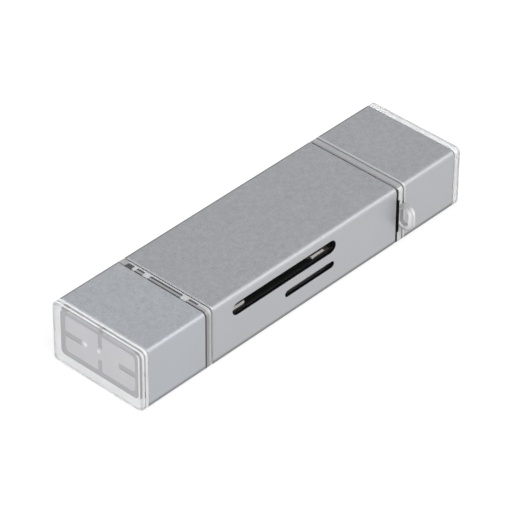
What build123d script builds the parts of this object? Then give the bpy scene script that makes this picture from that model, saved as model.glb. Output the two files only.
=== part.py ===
from build123d import *
import os

# Card reader in millimetres. The origin is the centre of the body's underside.
# +X runs to the cap with the lanyard loop, -Y faces the card slots, +Z is up.

# Outer form
WIDTH = 20.5
CORNER_R = 1.0
BODY_LENGTH = 45.0
CAP_SLEEVE_LENGTH = 13.4
WINDOW_LENGTH = 1.6
WINDOW_THICK = 2.1
RIM_LENGTH = 1.4
SEAM_GAP = 0.2

# Walls, fits and broken edges
SLEEVE_WALL = 0.6
SLEEVE_BREAK = 0.2
SLOT_BREAK = 0.1
LINER_WALL = 0.75
FRAME_WALL = 0.9
END_WALL = 1.2
END_RECESS = 0.3
FIT = 0.05
TIGHT_R = 0.2
CAVITY_R = 0.9
FLOOR_BREAK = 0.8
WINDOW_BREAK = 0.35
RIM_BREAK = 0.2
REBATE = 0.7

# Cap ribs that grip the plugs
RIB_THICK = 0.9
RIB_SETBACK = 0.6
RIB_LEAD = 1.2
RIB_CLEAR = 0.1

# Lanyard loop on the far rim
LOOP_HOLE_LENGTH = 3.2
LOOP_HOLE_WIDTH = 1.65
LOOP_WALL = 1.0
LOOP_STANDOFF = 0.95
LOOP_THICK = 1.3
LOOP_BREAK = 0.3
RELIEF_DEPTH = 0.4
RELIEF_LENGTH = 7.0

# Cards and their slots in the sleeve
LARGE_CARD_WIDTH = 24.0
LARGE_CARD_THICK = 2.1
SMALL_CARD_WIDTH = 11.0
SMALL_CARD_THICK = 1.0
CARD_PLAY = 0.15
SLOT_END_MARGIN = 0.45
LARGE_SLOT_PLAY = 0.15
SMALL_SLOT_PLAY = 0.1
SLOT_STAGGER = 6.15

# Board and card sockets
BOARD_THICK = 1.0
BOARD_LIFT = 0.4
BOARD_LEDGE = 0.4
SHEET = 0.2
SOCKET_SETBACK = 0.55
SOCKET_GAP = 1.4
HEADROOM = 0.1
LARGE_ARM = 0.8
LARGE_ROOF = 0.35
LARGE_REAR_WALL = 1.6
LARGE_NOTCH_WIDTH = 16.9
LARGE_NOTCH_DEPTH = 2.4
LARGE_CONTACTS = 9
LARGE_PITCH = 2.5
LARGE_CONTACT_WIDTH = 0.9
SMALL_ARM = 0.6
SMALL_BASE = 0.75
SMALL_DEPTH = 13.9
SMALL_REAR_WALL = 1.4
SMALL_CONTACTS = 8
SMALL_PITCH = 1.1
SMALL_CONTACT_WIDTH = 0.5
CONTACT_SHEET = 0.15
CONTACT_DIP = 0.45
CONTACT_REACH = 7.0
TAIL_LENGTH = 0.6

# Wide plug, under the far cap
PLUG_A_WIDTH = 12.0
PLUG_A_HEIGHT = 4.5
PLUG_A_R = 0.6
PLUG_A_WALL = 0.3
PLUG_A_REACH = 12.5
PLUG_A_SEAT = 4.6
PLUG_A_BLOCK = 4.0
TONGUE_THICK = 1.85
TONGUE_SETBACK = 0.4
TONGUE_PLAY = 0.1
PLUG_A_HOLE = 2.2
PLUG_A_HOLE_Y = 2.9
PLUG_A_HOLE_SETBACK = 4.2
PLUG_A_CONTACT_WIDTH = 1.0
PLUG_A_CONTACT_Y = (-3.5, -1.0, 1.0, 3.5)
PLUG_A_CONTACT_SETBACK = (1.0, 2.0, 2.0, 1.0)
CONTACT_PROUD = 0.05
EAR_LENGTH = 1.0
EAR_WIDTH = 1.2

# Small oval plug, under the near cap
PLUG_C_WIDTH = 8.34
PLUG_C_HEIGHT = 2.56
PLUG_C_WALL = 0.2
PLUG_C_REACH = 6.65
PLUG_C_SEAT = 2.2
PLUG_C_CAVITY_WIDTH = 6.9
PLUG_C_CAVITY_HEIGHT = 1.3
PLUG_C_CAVITY_DEPTH = 5.2
PLUG_C_SETBACK = 0.15
PLUG_C_CONTACTS = 12
PLUG_C_PITCH = 0.5
PLUG_C_CONTACT_WIDTH = 0.25
PLUG_C_CONTACT_SHEET = 0.1
PLUG_C_CONTACT_SETBACK = 0.9
LATCH_THICK = 0.2
LATCH_ARM = 0.35
LATCH_BAR = 0.8
PLUG_BREAK = 0.15

# Pillars of the frame, with a locating pin on two of them
PILLAR_SIDE = 2.2
PIN_D = 1.2
PIN_HEIGHT = 1.2
PILLAR_INSET = 1.0
PILLAR_GAP = 0.3
NOTCH_CLEAR = 0.3

# Parts on the board
CHIP_SIZE = 7.0
CHIP_THICK = 0.9
CHIP_GAP = 2.5
CHIP_BREAK = 0.15
CRYSTAL_LENGTH = 3.2
CRYSTAL_WIDTH = 2.5
CRYSTAL_HEIGHT = 0.8
CRYSTAL_GAP = 1.7
PASSIVE_LENGTH = 1.0
PASSIVE_WIDTH = 0.5
CAPACITOR_HEIGHT = 0.5
RESISTOR_HEIGHT = 0.35
PASSIVE_GAP = 0.6
PASSIVE_PITCH = 2.0
PASSIVE_EDGE = 2.5
PASSIVES = 3

# Heights, worked out from the stack above the plug axis
FRAME_INSET = SLEEVE_WALL + FIT
FRAME_INNER = FRAME_INSET + FRAME_WALL
LARGE_PATH_HEIGHT = LARGE_CARD_THICK + 2 * CARD_PLAY
SMALL_PATH_HEIGHT = SMALL_CARD_THICK + 2 * CARD_PLAY
LARGE_STACK = BOARD_LIFT + BOARD_THICK + SHEET + LARGE_PATH_HEIGHT + LARGE_ROOF
MID_Z = LARGE_STACK + HEADROOM + FRAME_INNER
HEIGHT = 2 * MID_Z
BOARD_BOTTOM = MID_Z + BOARD_LIFT
BOARD_TOP = BOARD_BOTTOM + BOARD_THICK
LARGE_FLOOR = BOARD_TOP + SHEET
LARGE_PATH_TOP = LARGE_FLOOR + LARGE_PATH_HEIGHT
LARGE_TOP = LARGE_PATH_TOP + LARGE_ROOF
SMALL_PATH_TOP = BOARD_BOTTOM - SMALL_BASE
SMALL_FLOOR = SMALL_PATH_TOP - SMALL_PATH_HEIGHT
SMALL_BOTTOM = SMALL_FLOOR - SHEET

# Places along X
BODY_END = BODY_LENGTH / 2
FRAME_END = BODY_END - END_RECESS
RIM_START = BODY_END + SEAM_GAP
CAP_START = RIM_START + RIM_LENGTH
WINDOW_START = CAP_START + CAP_SLEEVE_LENGTH
CAP_END = WINDOW_START + WINDOW_LENGTH
TUBE_START = CAP_START - REBATE
BOARD_END = FRAME_END - END_WALL - FIT
PLUG_A_REAR = FRAME_END - PLUG_A_SEAT
PLUG_A_TIP = FRAME_END + PLUG_A_REACH
PLUG_C_REAR = PLUG_C_SEAT - FRAME_END
PLUG_C_TIP = -FRAME_END - PLUG_C_REACH
LARGE_HALF_PATH = LARGE_CARD_WIDTH / 2 + CARD_PLAY
LARGE_HALF_WIDTH = LARGE_HALF_PATH + LARGE_ARM + SHEET
LARGE_X = PLUG_C_REAR + SOCKET_GAP + LARGE_HALF_WIDTH
LARGE_RIGHT = LARGE_X + LARGE_HALF_WIDTH
SMALL_X = LARGE_X + SLOT_STAGGER
SMALL_HALF_PATH = SMALL_CARD_WIDTH / 2 + CARD_PLAY
SMALL_HALF_WIDTH = SMALL_HALF_PATH + SMALL_ARM + SHEET
NEAR_PILLAR_X = PLUG_C_REAR
FAR_PILLAR_X = PLUG_A_REAR - PILLAR_GAP - PILLAR_SIDE / 2

# Places along Y
INNER_HALF_WIDTH = WIDTH / 2 - FRAME_INNER
BOARD_HALF_WIDTH = INNER_HALF_WIDTH + BOARD_LEDGE
SOCKET_FRONT = FRAME_INSET + SOCKET_SETBACK - WIDTH / 2
TAIL_ROOM = CONTACT_SHEET + TAIL_LENGTH + FIT
LARGE_REAR = INNER_HALF_WIDTH - TAIL_ROOM
SMALL_REAR = SOCKET_FRONT + SMALL_DEPTH
PILLAR_Y = INNER_HALF_WIDTH - PILLAR_INSET

LINER_INSET = SLEEVE_WALL + FIT
CAVITY_INSET = LINER_INSET + LINER_WALL


def block(x_span, y_span, z_span):
    """Box between two values on each axis."""
    spans = (x_span, y_span, z_span)
    low = [span[0] for span in spans]
    size = [span[1] - span[0] for span in spans]
    return Pos(*low) * Box(*size, align=Align.MIN)


def about(centre, half):
    """Span that reaches the same way to both sides of a centre."""
    return (centre - half, centre + half)


def section(inset):
    """Cross-section of the reader, drawn in all round by an inset."""
    radius = max(CORNER_R - inset, TIGHT_R)
    return Pos(0, MID_Z) * RectangleRounded(WIDTH - 2 * inset, HEIGHT - 2 * inset, radius)


def prism(profile, start, end):
    """Profile in Y and Z, drawn out along X."""
    return extrude(Plane.YZ.offset(start) * profile, amount=end - start)


def strip(points, sheet, width):
    """Bent strip of sheet in local X and Y, mitred at its bends and centred on its width."""
    path = [Vector(*point) for point in points]
    sides = [(end - start).normalized().rotate(Axis.Z, 90) for start, end in zip(path, path[1:])]
    mitres = [(a + b) * (1 / (1 + a.dot(b))) for a, b in zip(sides, sides[1:])]
    halves = [side * (sheet / 2) for side in (sides[0], *mitres, sides[-1])]
    upper = [point + half for point, half in zip(path, halves)]
    lower = [point - half for point, half in zip(path, halves)]
    outline = make_face(Polyline(*upper, *reversed(lower), close=True))
    return extrude(outline, amount=width / 2, both=True)


def break_ends(tube):
    """Chamfer the outer edge at both ends of a sleeve."""
    ends = tube.faces().filter_by(Axis.X)
    outer_edges = [edge for face in ends for edge in face.outer_wire().edges()]
    return chamfer(outer_edges, SLEEVE_BREAK)


def slot_cut(x, z, length, height):
    """Round-ended slot through the wall at -Y."""
    return extrude(Plane.XZ * Pos(x, z) * SlotOverall(length, height), amount=WIDTH)


def body_sleeve():
    sleeve = break_ends(prism(section(0) - section(SLEEVE_WALL), -BODY_END, BODY_END))
    large_z = LARGE_FLOOR + LARGE_PATH_HEIGHT / 2
    small_z = SMALL_FLOOR + SMALL_PATH_HEIGHT / 2
    large_length = LARGE_CARD_WIDTH + 2 * SLOT_END_MARGIN
    small_length = SMALL_CARD_WIDTH + 2 * SLOT_END_MARGIN
    sleeve -= slot_cut(LARGE_X, large_z, large_length, LARGE_CARD_THICK + 2 * LARGE_SLOT_PLAY)
    sleeve -= slot_cut(SMALL_X, small_z, small_length, SMALL_CARD_THICK + 2 * SMALL_SLOT_PLAY)
    slot_side = sleeve.faces().sort_by(Axis.Y)[0]
    slot_edges = [edge for wire in slot_side.inner_wires() for edge in wire.edges()]
    return chamfer(slot_edges, SLOT_BREAK)


def cap_sleeve():
    return break_ends(prism(section(0) - section(SLEEVE_WALL), CAP_START + FIT, WINDOW_START - FIT))


def cavity_section():
    """Hollow of a cap, rounder in its corners than the sleeve."""
    return Pos(0, MID_Z) * RectangleRounded(WIDTH - 2 * CAVITY_INSET, HEIGHT - 2 * CAVITY_INSET, CAVITY_R)


def cap_cavity():
    """Hollow of a cap, bevelled where it meets the window."""
    cavity = prism(cavity_section(), RIM_START, CAP_END - WINDOW_THICK)
    return chamfer(cavity.faces().sort_by(Axis.X)[-1].edges(), FLOOR_BREAK)


def cap_rib(inner, outer):
    """Rib above the plug axis, slanted at its mouth so that the plug leads in."""
    start = CAP_START + RIB_SETBACK
    end = CAP_END - WINDOW_THICK / 2
    profile = Polygon((start, outer), (start + RIB_LEAD, inner), (end, inner), (end, outer), align=None)
    return extrude(Plane.XZ * profile, amount=RIB_THICK / 2, both=True)


def cap_liner(plug_width, plug_height):
    """End window, tube and four ribs, moulded in one."""
    window = prism(section(0), WINDOW_START, CAP_END)
    window = chamfer(window.faces().sort_by(Axis.X)[-1].edges(), WINDOW_BREAK)
    liner = window + prism(section(LINER_INSET), TUBE_START, WINDOW_START) - cap_cavity()
    root = LINER_INSET + LINER_WALL / 2
    upright_rib = cap_rib(plug_height / 2 + RIB_CLEAR, HEIGHT / 2 - root)
    side_rib = cap_rib(plug_width / 2 + RIB_CLEAR, WIDTH / 2 - root)
    for rib, turn in ((upright_rib, 0), (side_rib, 90), (upright_rib, 180), (side_rib, 270)):
        liner += Pos(0, 0, MID_Z) * Rot(turn, 0, 0) * rib
    return liner


def cap_rim():
    """Ring flush with the sleeve, rebated to take the end of the liner's tube."""
    ring = prism(section(0), RIM_START, CAP_START)
    ring = chamfer(ring.faces().sort_by(Axis.X)[0].edges(), RIM_BREAK)
    return ring - cap_cavity() - prism(section(SLEEVE_WALL), TUBE_START - FIT, CAP_START)


def lanyard_loop():
    """Oval eye beside the rim, clear of the cap sleeve behind it."""
    start = RIM_START + RELIEF_DEPTH
    hole = SlotOverall(LOOP_HOLE_LENGTH, LOOP_HOLE_WIDTH, rotation=90)
    outer = SlotOverall(LOOP_HOLE_LENGTH + 2 * LOOP_WALL, LOOP_HOLE_WIDTH + 2 * LOOP_WALL, rotation=90)
    place = Pos(-WIDTH / 2 - LOOP_STANDOFF, MID_Z)
    eye = prism(place * (outer - hole), start, start + LOOP_THICK)
    eye = chamfer(eye.faces().filter_by(Axis.X).edges(), LOOP_BREAK)
    sleeve_zone = block((CAP_START, CAP_END), (-WIDTH / 2 - FIT, 0), (0, HEIGHT))
    inside = block((RIM_START, CAP_START), (CAVITY_INSET - WIDTH / 2, 0), (0, HEIGHT))
    rebate_side = block((TUBE_START - FIT, CAP_START), (SLEEVE_WALL - WIDTH / 2, 0), (0, HEIGHT))
    return eye - sleeve_zone - inside - rebate_side


def looped_rim():
    """Far rim, cut back on its near face around the loop."""
    half = RELIEF_LENGTH / 2
    relief = Polygon(
        (RIM_START, MID_Z - half),
        (RIM_START + RELIEF_DEPTH, MID_Z - half + RELIEF_DEPTH),
        (RIM_START + RELIEF_DEPTH, MID_Z + half - RELIEF_DEPTH),
        (RIM_START, MID_Z + half),
        align=None,
    )
    relief_cut = extrude(Plane.XZ.offset(WIDTH / 2 - CAVITY_INSET) * relief, amount=2 * CAVITY_INSET)
    return cap_rim() - relief_cut + lanyard_loop()


def plug_a_section(grow):
    width = PLUG_A_WIDTH + 2 * grow
    height = PLUG_A_HEIGHT + 2 * grow
    return Pos(0, MID_Z) * RectangleRounded(width, height, PLUG_A_R + grow)


def plug_c_section(grow):
    return Pos(0, MID_Z) * SlotOverall(PLUG_C_WIDTH + 2 * grow, PLUG_C_HEIGHT + 2 * grow)


def frame_shell():
    """Closed black box inside the sleeve, with a passage for each plug."""
    shell = prism(section(FRAME_INSET), -FRAME_END, FRAME_END)
    shell -= block(
        about(0, FRAME_END - END_WALL),
        about(0, INNER_HALF_WIDTH),
        (FRAME_INNER, HEIGHT - FRAME_INNER),
    )
    shell -= prism(plug_a_section(FIT), FRAME_END - END_WALL, FRAME_END)
    return shell - prism(plug_c_section(FIT), -FRAME_END, END_WALL - FRAME_END)


def pillars(bottom, top):
    """Four square pillars, one in each corner of the frame."""
    half = PILLAR_SIDE / 2
    places = [(x, y) for x in (NEAR_PILLAR_X, FAR_PILLAR_X) for y in (-PILLAR_Y, PILLAR_Y)]
    return [block(about(x, half), about(y, half), (bottom, top)) for x, y in places]


def pins(diameter, bottom, top):
    """Two round pins on opposite pillars, or the holes that take them."""
    pin = Cylinder(diameter / 2, top - bottom, align=(Align.CENTER, Align.CENTER, Align.MIN))
    places = [(NEAR_PILLAR_X, -PILLAR_Y), (FAR_PILLAR_X, PILLAR_Y)]
    return [Pos(x, y, bottom) * pin for x, y in places]


def frame_lower():
    """Lower half: carries the board on its walls and pillars."""
    below = block(about(0, BODY_END), about(0, WIDTH / 2), (0, BOARD_BOTTOM))
    half = frame_shell() & below
    half -= block(
        about(SMALL_X, SMALL_HALF_WIDTH + FIT),
        (-WIDTH / 2, -INNER_HALF_WIDTH),
        (SMALL_BOTTOM - FIT, BOARD_BOTTOM),
    )
    half += pillars(FRAME_INSET + FRAME_WALL / 2, BOARD_BOTTOM)
    return half + pins(PIN_D, BOARD_BOTTOM, BOARD_TOP + PIN_HEIGHT)


def frame_upper():
    """Upper half: clamps the board's edge and takes the pins in blind bosses."""
    above = block(about(0, BODY_END), about(0, WIDTH / 2), (BOARD_BOTTOM, HEIGHT))
    half = frame_shell() & above
    half -= block(
        about(0, BOARD_END + FIT),
        about(0, BOARD_HALF_WIDTH + FIT),
        (BOARD_BOTTOM, BOARD_TOP),
    )
    half -= block(
        about(LARGE_X, LARGE_HALF_WIDTH + FIT),
        (-WIDTH / 2, -INNER_HALF_WIDTH),
        (BOARD_TOP, LARGE_TOP + FIT),
    )
    half += pillars(BOARD_TOP, HEIGHT - FRAME_INSET - FRAME_WALL / 2)
    return half - pins(PIN_D + 2 * FIT, BOARD_TOP, BOARD_TOP + PIN_HEIGHT + FIT)


def main_board():
    """Board with a notch at each end for a plug and holes for the frame's pins."""
    board = block(about(0, BOARD_END), about(0, BOARD_HALF_WIDTH), (BOARD_BOTTOM, BOARD_TOP))
    through = (BOARD_BOTTOM, BOARD_TOP)
    board -= block((PLUG_A_REAR - NOTCH_CLEAR, BOARD_END), about(0, PLUG_A_WIDTH / 2 + FIT), through)
    board -= block((-BOARD_END, PLUG_C_REAR + NOTCH_CLEAR), about(0, PLUG_C_WIDTH / 2 + FIT), through)
    return board - pins(PIN_D + 2 * FIT, BOARD_BOTTOM, BOARD_TOP)


def sheet_channel(centre, half_width, bottom, top):
    """Stamped channel along Y: a floor of sheet with two upright sides."""
    outer = Pos(centre, bottom) * Rectangle(2 * half_width, top - bottom, align=(Align.CENTER, Align.MIN))
    outer = fillet(outer.vertices().group_by(Axis.Y)[0], SHEET)
    inner_width = 2 * (half_width - SHEET)
    inner = Pos(centre, bottom + SHEET) * Rectangle(inner_width, top - bottom, align=(Align.CENTER, Align.MIN))
    return outer - inner


def large_card_shell():
    """Floor plate under the large card, with a wide notch at the mouth and upright sides."""
    channel = sheet_channel(LARGE_X, LARGE_HALF_WIDTH, BOARD_TOP, LARGE_PATH_TOP)
    shell = extrude(Plane.XZ.offset(-LARGE_REAR) * channel, amount=LARGE_REAR - SOCKET_FRONT)
    front_half = LARGE_NOTCH_WIDTH / 2
    back_half = front_half - LARGE_NOTCH_DEPTH
    back = SOCKET_FRONT + LARGE_NOTCH_DEPTH
    notch = Polygon(
        (LARGE_X - front_half, SOCKET_FRONT),
        (LARGE_X + front_half, SOCKET_FRONT),
        (LARGE_X + back_half, back),
        (LARGE_X - back_half, back),
        align=None,
    )
    return shell - extrude(Plane.XY.offset(BOARD_TOP) * notch, amount=SHEET)


def large_card_contacts():
    """Row of sprung contacts over the card, soldered behind the housing."""
    board_z = BOARD_TOP + CONTACT_SHEET / 2
    roof_z = LARGE_PATH_TOP - CONTACT_SHEET / 2
    rear_y = LARGE_REAR + CONTACT_SHEET / 2
    bend_y = LARGE_REAR - LARGE_REAR_WALL - CONTACT_REACH / 2
    points = [
        (LARGE_REAR + CONTACT_SHEET + TAIL_LENGTH, board_z),
        (rear_y, board_z),
        (rear_y, roof_z),
        (bend_y, roof_z),
        (bend_y - CONTACT_REACH / 3, roof_z - CONTACT_DIP),
        (bend_y - CONTACT_REACH / 2, roof_z - CONTACT_DIP / 2),
    ]
    contact = Plane.YZ * strip(points, CONTACT_SHEET, LARGE_CONTACT_WIDTH)
    first = LARGE_X - LARGE_PITCH * (LARGE_CONTACTS - 1) / 2
    return [Pos(first + index * LARGE_PITCH, 0, 0) * contact for index in range(LARGE_CONTACTS)]


def large_card_housing():
    """Insulator over the card: roof, two side arms and a rear wall that holds the contacts."""
    half = LARGE_HALF_WIDTH - SHEET
    housing = block(about(LARGE_X, half), (SOCKET_FRONT, LARGE_REAR), (LARGE_FLOOR, LARGE_TOP))
    path = block(
        about(LARGE_X, LARGE_HALF_PATH),
        (SOCKET_FRONT, LARGE_REAR - LARGE_REAR_WALL),
        (LARGE_FLOOR, LARGE_PATH_TOP),
    )
    return housing - path - large_card_contacts()


def small_card_shell():
    """Cover plate under the small card, with upright sides that meet the board."""
    channel = sheet_channel(SMALL_X, SMALL_HALF_WIDTH, SMALL_BOTTOM, BOARD_BOTTOM)
    return extrude(Plane.XZ.offset(-SMALL_REAR) * channel, amount=SMALL_DEPTH)


def small_card_contacts():
    """Row of sprung contacts above the small card, soldered behind the housing."""
    board_z = BOARD_BOTTOM - CONTACT_SHEET / 2
    base_z = SMALL_PATH_TOP + CONTACT_SHEET / 2
    rear_y = SMALL_REAR + CONTACT_SHEET
    bend_y = SMALL_REAR - SMALL_REAR_WALL - CONTACT_REACH / 2
    points = [
        (rear_y + TAIL_LENGTH, board_z),
        (rear_y, board_z),
        (rear_y, base_z),
        (bend_y, base_z),
        (bend_y - CONTACT_REACH / 3, base_z - CONTACT_DIP),
        (bend_y - CONTACT_REACH / 2, base_z - CONTACT_DIP / 2),
    ]
    contact = Plane.YZ * strip(points, CONTACT_SHEET, SMALL_CONTACT_WIDTH)
    first = SMALL_X - SMALL_PITCH * (SMALL_CONTACTS - 1) / 2
    return [Pos(first + index * SMALL_PITCH, 0, 0) * contact for index in range(SMALL_CONTACTS)]


def small_card_housing():
    """Insulator between the small card and the board, with side arms and a rear wall."""
    half = SMALL_HALF_WIDTH - SHEET
    housing = block(about(SMALL_X, half), (SOCKET_FRONT, SMALL_REAR), (SMALL_FLOOR, BOARD_BOTTOM))
    path = block(
        about(SMALL_X, SMALL_HALF_PATH),
        (SOCKET_FRONT, SMALL_REAR - SMALL_REAR_WALL),
        (SMALL_FLOOR, SMALL_PATH_TOP),
    )
    return housing - path - small_card_contacts()


def plug_a_shell():
    """Folded tube with two windows above and below, and ears that stand on the board."""
    shell = prism(plug_a_section(0), PLUG_A_REAR, PLUG_A_TIP)
    shell = chamfer(shell.faces().sort_by(Axis.X)[-1].edges(), PLUG_BREAK)
    shell -= prism(plug_a_section(-PLUG_A_WALL), PLUG_A_REAR, PLUG_A_TIP)
    hole_end = PLUG_A_TIP - PLUG_A_HOLE_SETBACK
    for y in (-PLUG_A_HOLE_Y, PLUG_A_HOLE_Y):
        shell -= block((hole_end - PLUG_A_HOLE, hole_end), about(y, PLUG_A_HOLE / 2), about(MID_Z, PLUG_A_HEIGHT))
    for side in (-1, 1):
        ear = block((0, EAR_LENGTH), (-PLUG_A_WALL, EAR_WIDTH), (0, PLUG_A_WALL))
        ear = ear if side > 0 else mirror(ear, about=Plane.XZ)
        shell += Pos(PLUG_A_REAR, side * PLUG_A_WIDTH / 2, BOARD_TOP) * ear
    return shell


def plug_a_contacts():
    """Four flat contacts on the tongue, stepped up behind it to the board's underside."""
    tongue_top = MID_Z - PLUG_A_HEIGHT / 2 + PLUG_A_WALL + TONGUE_THICK
    lie_z = tongue_top + CONTACT_PROUD - CONTACT_SHEET / 2
    board_z = BOARD_BOTTOM - CONTACT_SHEET / 2
    step_start = PLUG_A_REAR - CONTACT_SHEET
    step_end = step_start - NOTCH_CLEAR
    contacts = []
    for y, setback in zip(PLUG_A_CONTACT_Y, PLUG_A_CONTACT_SETBACK):
        points = [
            (PLUG_A_TIP - TONGUE_SETBACK - setback, lie_z),
            (step_start, lie_z),
            (step_end, board_z),
            (step_end - TAIL_LENGTH, board_z),
        ]
        contact = strip(points, CONTACT_SHEET, PLUG_A_CONTACT_WIDTH)
        contacts.append(Pos(0, y, 0) * (Plane.XZ * contact))
    return contacts


def plug_a_tongue():
    """Insulator: a block at the rear of the shell and a tongue along its lower half."""
    bottom = MID_Z - PLUG_A_HEIGHT / 2 + PLUG_A_WALL
    top = MID_Z + PLUG_A_HEIGHT / 2 - PLUG_A_WALL
    half = PLUG_A_WIDTH / 2 - PLUG_A_WALL - TONGUE_PLAY
    tip = PLUG_A_TIP - TONGUE_SETBACK
    shoulder = PLUG_A_REAR + PLUG_A_BLOCK
    lead = TONGUE_SETBACK
    profile = Polygon(
        (PLUG_A_REAR, bottom),
        (tip, bottom),
        (tip, bottom + TONGUE_THICK - lead),
        (tip - lead, bottom + TONGUE_THICK),
        (shoulder, bottom + TONGUE_THICK),
        (shoulder, top),
        (PLUG_A_REAR, top),
        align=None,
    )
    tongue = extrude(Plane.XZ * profile, amount=half, both=True)
    long_edges = tongue.edges().filter_by(Axis.X)
    corners = long_edges.group_by(Axis.Z)[0] + long_edges.group_by(Axis.Z)[-1]
    return fillet(corners, PLUG_A_R - PLUG_A_WALL) - plug_a_contacts()


def plug_c_shell():
    """Seamless oval tube."""
    shell = prism(plug_c_section(0), PLUG_C_TIP, PLUG_C_REAR)
    shell = chamfer(shell.faces().sort_by(Axis.X)[0].edges(), PLUG_BREAK)
    return shell - prism(plug_c_section(-PLUG_C_WALL), PLUG_C_TIP, PLUG_C_REAR)


def plug_c_contacts():
    """Two rows of contacts, the upper row soldered on the board and the lower row under it."""
    sheet = PLUG_C_CONTACT_SHEET
    start = PLUG_C_TIP + PLUG_C_CONTACT_SETBACK
    rise_x = PLUG_C_REAR + NOTCH_CLEAR / 2
    tail_x = rise_x + TAIL_LENGTH
    rows = (
        (MID_Z + PLUG_C_CAVITY_HEIGHT / 2, BOARD_TOP + sheet / 2),
        (MID_Z - PLUG_C_CAVITY_HEIGHT / 2, BOARD_BOTTOM - sheet / 2),
    )
    contacts = []
    for lie_z, board_z in rows:
        points = [(start, lie_z), (rise_x, lie_z), (rise_x, board_z), (tail_x, board_z)]
        contact = Plane.XZ * strip(points, sheet, PLUG_C_CONTACT_WIDTH)
        for index in range(PLUG_C_CONTACTS):
            y = (index - (PLUG_C_CONTACTS - 1) / 2) * PLUG_C_PITCH
            contacts.append(Pos(0, y, 0) * contact)
    return contacts


def plug_c_latch():
    """Flat fork that lies in the middle of the insulator, one arm along each side of the cavity."""
    half = PLUG_C_CAVITY_WIDTH / 2
    cavity_end = PLUG_C_TIP + PLUG_C_CAVITY_DEPTH
    tip = PLUG_C_TIP + PLUG_C_CONTACT_SETBACK
    z_span = about(MID_Z, LATCH_THICK / 2)
    fork = block((tip, cavity_end + LATCH_BAR), about(0, half), z_span)
    return fork - block((tip, cavity_end), about(0, half - LATCH_ARM), z_span)


def plug_c_insulator():
    """Moulding that fills the shell behind an oval cavity."""
    start = PLUG_C_TIP + PLUG_C_SETBACK
    moulding = prism(plug_c_section(-PLUG_C_WALL), start, PLUG_C_REAR)
    cavity = Pos(0, MID_Z) * SlotOverall(PLUG_C_CAVITY_WIDTH, PLUG_C_CAVITY_HEIGHT)
    moulding -= prism(cavity, start, PLUG_C_TIP + PLUG_C_CAVITY_DEPTH)
    return moulding - plug_c_contacts() - plug_c_latch()


def controller_chip():
    """Square chip under the board, beside the small card socket."""
    right = SMALL_X - SMALL_HALF_WIDTH - CHIP_GAP
    chip = block((right - CHIP_SIZE, right), about(0, CHIP_SIZE / 2), (BOARD_BOTTOM - CHIP_THICK, BOARD_BOTTOM))
    return chamfer(chip.faces().sort_by(Axis.Z)[0].edges(), CHIP_BREAK)


def crystal():
    """Small metal can on the board."""
    left = LARGE_RIGHT + CRYSTAL_GAP
    centre = Pos(left + CRYSTAL_WIDTH / 2, 0, BOARD_TOP)
    can = RectangleRounded(CRYSTAL_WIDTH, CRYSTAL_LENGTH, CRYSTAL_WIDTH / 4)
    return extrude(centre * can, amount=CRYSTAL_HEIGHT)


def passives(side, height):
    """Row of small parts on the board, counted in from one long edge."""
    left = LARGE_RIGHT + PASSIVE_GAP
    rows = []
    for index in range(PASSIVES):
        y = side * (BOARD_HALF_WIDTH - PASSIVE_EDGE - PASSIVE_PITCH * index)
        x_span = (left, left + PASSIVE_WIDTH)
        rows.append(block(x_span, about(y, PASSIVE_LENGTH / 2), (BOARD_TOP, BOARD_TOP + height)))
    return rows


def near(piece):
    """Mirror a far cap piece to the near end."""
    return mirror(piece, about=Plane.YZ)


def main():
    nodes = {
        "body_sleeve": body_sleeve(),
        "frame_lower": frame_lower(),
        "frame_upper": frame_upper(),
        "main_board": main_board(),
        "large_card_shell": large_card_shell(),
        "large_card_housing": large_card_housing(),
        "large_card_contacts": Compound(children=large_card_contacts()),
        "small_card_shell": small_card_shell(),
        "small_card_housing": small_card_housing(),
        "small_card_contacts": Compound(children=small_card_contacts()),
        "controller_chip": controller_chip(),
        "crystal": crystal(),
        "capacitors": Compound(children=passives(1, CAPACITOR_HEIGHT)),
        "resistors": Compound(children=passives(-1, RESISTOR_HEIGHT)),
        "plug_a_shell": plug_a_shell(),
        "plug_a_tongue": plug_a_tongue(),
        "plug_a_contacts": Compound(children=plug_a_contacts()),
        "plug_c_shell": plug_c_shell(),
        "plug_c_insulator": plug_c_insulator(),
        "plug_c_contacts": Compound(children=plug_c_contacts()),
        "plug_c_latch": plug_c_latch(),
        "cap_a_sleeve": cap_sleeve(),
        "cap_a_liner": cap_liner(PLUG_A_WIDTH, PLUG_A_HEIGHT),
        "cap_a_rim": looped_rim(),
        "cap_c_sleeve": near(cap_sleeve()),
        "cap_c_liner": near(cap_liner(PLUG_C_WIDTH, PLUG_C_HEIGHT)),
        "cap_c_rim": near(cap_rim()),
    }
    os.makedirs("parts", exist_ok=True)
    for name, shape in nodes.items():
        export_step(shape, f"parts/{name}.step")


main()
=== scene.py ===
import math

import bmesh
import bpy
from mathutils import Matrix, Vector


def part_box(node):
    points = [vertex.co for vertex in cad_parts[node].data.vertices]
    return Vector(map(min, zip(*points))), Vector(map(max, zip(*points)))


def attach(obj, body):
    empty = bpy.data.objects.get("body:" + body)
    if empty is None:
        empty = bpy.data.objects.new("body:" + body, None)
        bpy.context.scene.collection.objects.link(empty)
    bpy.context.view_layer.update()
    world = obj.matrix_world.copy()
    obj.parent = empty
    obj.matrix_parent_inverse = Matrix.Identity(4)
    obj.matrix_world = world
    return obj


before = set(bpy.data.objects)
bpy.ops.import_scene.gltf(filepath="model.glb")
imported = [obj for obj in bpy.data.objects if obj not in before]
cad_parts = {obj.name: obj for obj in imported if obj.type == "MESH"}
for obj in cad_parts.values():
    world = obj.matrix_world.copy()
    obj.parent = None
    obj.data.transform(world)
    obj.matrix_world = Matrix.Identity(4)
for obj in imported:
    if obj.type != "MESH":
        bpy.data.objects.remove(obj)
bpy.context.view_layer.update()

MM = 0.001

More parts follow.
